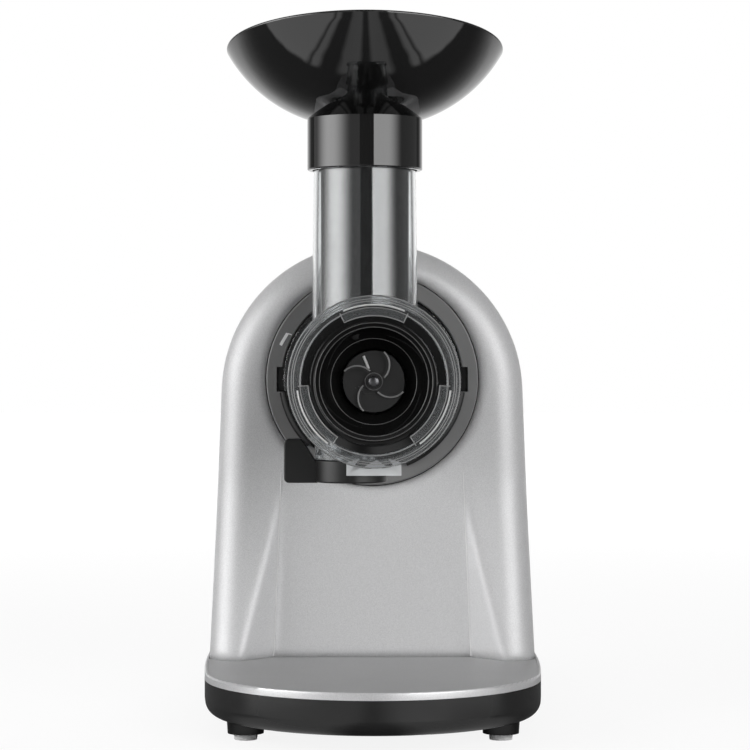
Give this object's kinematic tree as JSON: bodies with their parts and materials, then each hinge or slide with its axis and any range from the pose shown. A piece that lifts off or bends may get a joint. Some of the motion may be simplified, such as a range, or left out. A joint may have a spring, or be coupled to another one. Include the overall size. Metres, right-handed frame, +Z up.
{
  "type": "slow juicer",
  "caption": "Horizontal slow juicer: arched motor housing on a flat base, clear drum with auger and end cap, feed tube with bowl hopper and pusher, juice tap.",
  "frame": {"origin": "on the table under the middle of the base", "axes": "+X to the right, +Y to the back, +Z up; the drum mouth faces -Y"},
  "size_m": [0.174, 0.34, 0.3547],
  "materials": {
    "silver_paint": "silver metallic paint, satin",
    "black_satin": "satin black",
    "black_gloss": "polished black",
    "grey_bezel": "dark grey satin",
    "clear_plastic": "clear polished",
    "pad_rubber": "grey rubber",
    "seal_rubber": "black silicone",
    "steel": "turned steel",
    "screw_steel": "zinc plated",
    "cast_alloy": "die cast",
    "core_steel": "stacked sheet steel",
    "copper": "enamelled copper",
    "gear_nylon": "natural nylon",
    "fan_plastic": "moulded"
  },
  "bodies": {
    "base": {"base_pan": "black_satin", "base_feet": "black_satin", "foot_pads": "pad_rubber", "deck_plate": "silver_paint", "main_housing": "silver_paint", "rear_cover": "silver_paint", "drum_bezel": "grey_bezel", "drum_seat": "black_satin", "shaft_seal": "seal_rubber", "base_screws": "screw_steel", "cover_screws": "screw_steel", "gearbox_case": "cast_alloy", "gearbox_cover": "cast_alloy", "output_bearing_front": "steel", "output_bearing_rear": "steel", "idler_pin": "steel", "gearbox_screws": "screw_steel", "motor_front_bracket": "cast_alloy", "motor_rear_bracket": "cast_alloy", "motor_screws": "screw_steel", "rotor_bearing_front": "steel", "rotor_bearing_rear": "steel", "stator_core": "core_steel", "stator_coils": "copper", "brush_holders": "black_satin", "motor_stand": "steel", "rubber_mount": "seal_rubber", "switch_body": "black_satin", "cord_gland": "black_satin"},
    "drive": {"output_gear": "gear_nylon", "output_shaft": "steel", "auger": "black_gloss", "auger_pin": "steel"},
    "idler": {"idler_gear": "gear_nylon", "idler_pinion": "gear_nylon"},
    "rotor": {"rotor_core": "core_steel", "rotor_shaft": "steel", "commutator": "copper", "motor_pinion": "steel", "cooling_fan": "fan_plastic"},
    "drum_set": {"drum": "clear_plastic", "drum_seal": "seal_rubber", "juice_strainer": "black_gloss"},
    "cap_set": {"end_cap": "black_gloss", "cap_seal": "seal_rubber"},
    "tap_set": {"juice_tap": "black_gloss"},
    "hopper_set": {"hopper": "black_gloss"},
    "pusher_set": {"pusher": "black_gloss", "pusher_cap": "black_gloss"},
    "rocker": {"rocker_button": "black_satin"}
  },
  "joints": [
    {"name": "rotor_spin", "type": "hinge", "parent": "base", "child": "rotor", "pos_m": [0, 0.1, 0.1053], "axis": [0, 1, 0], "continuous": true},
    {"name": "idler_spin", "type": "hinge", "parent": "base", "child": "idler", "pos_m": [0, 0.04, 0.1353], "axis": [0, 1, 0], "continuous": true},
    {"name": "auger_spin", "type": "hinge", "parent": "base", "child": "drive", "pos_m": [0, 0, 0.1758], "axis": [0, 1, 0], "continuous": true},
    {"name": "drum_twist", "type": "hinge", "parent": "base", "child": "drum_set", "pos_m": [0, -0.02, 0.1758], "axis": [0, -1, 0], "range_deg": [0, 35]},
    {"name": "cap_twist", "type": "hinge", "parent": "drum_set", "child": "cap_set", "pos_m": [0, -0.155, 0.1758], "axis": [0, -1, 0], "range_deg": [0, 60]},
    {"name": "tap_turn", "type": "hinge", "parent": "drum_set", "child": "tap_set", "pos_m": [-0.0109, -0.13, 0.1379], "axis": [0, 0, -1], "range_deg": [0, 45]},
    {"name": "hopper_lift", "type": "slide", "parent": "drum_set", "child": "hopper_set", "axis": [0, 0, 1], "range_m": [0, 0.04]},
    {"name": "pusher_lift", "type": "slide", "parent": "hopper_set", "child": "pusher_set", "axis": [0, 0, 1], "range_m": [0, 0.11]},
    {"name": "rocker_tip", "type": "hinge", "parent": "base", "child": "rocker", "pos_m": [0, 0.16, 0.0567], "axis": [1, 0, 0], "range_deg": [0, 16]}
  ],
  "couplings": [
    {"joint": "idler_spin", "follows": "rotor_spin", "ratio": -0.25},
    {"joint": "auger_spin", "follows": "rotor_spin", "ratio": 0.071429}
  ]
}
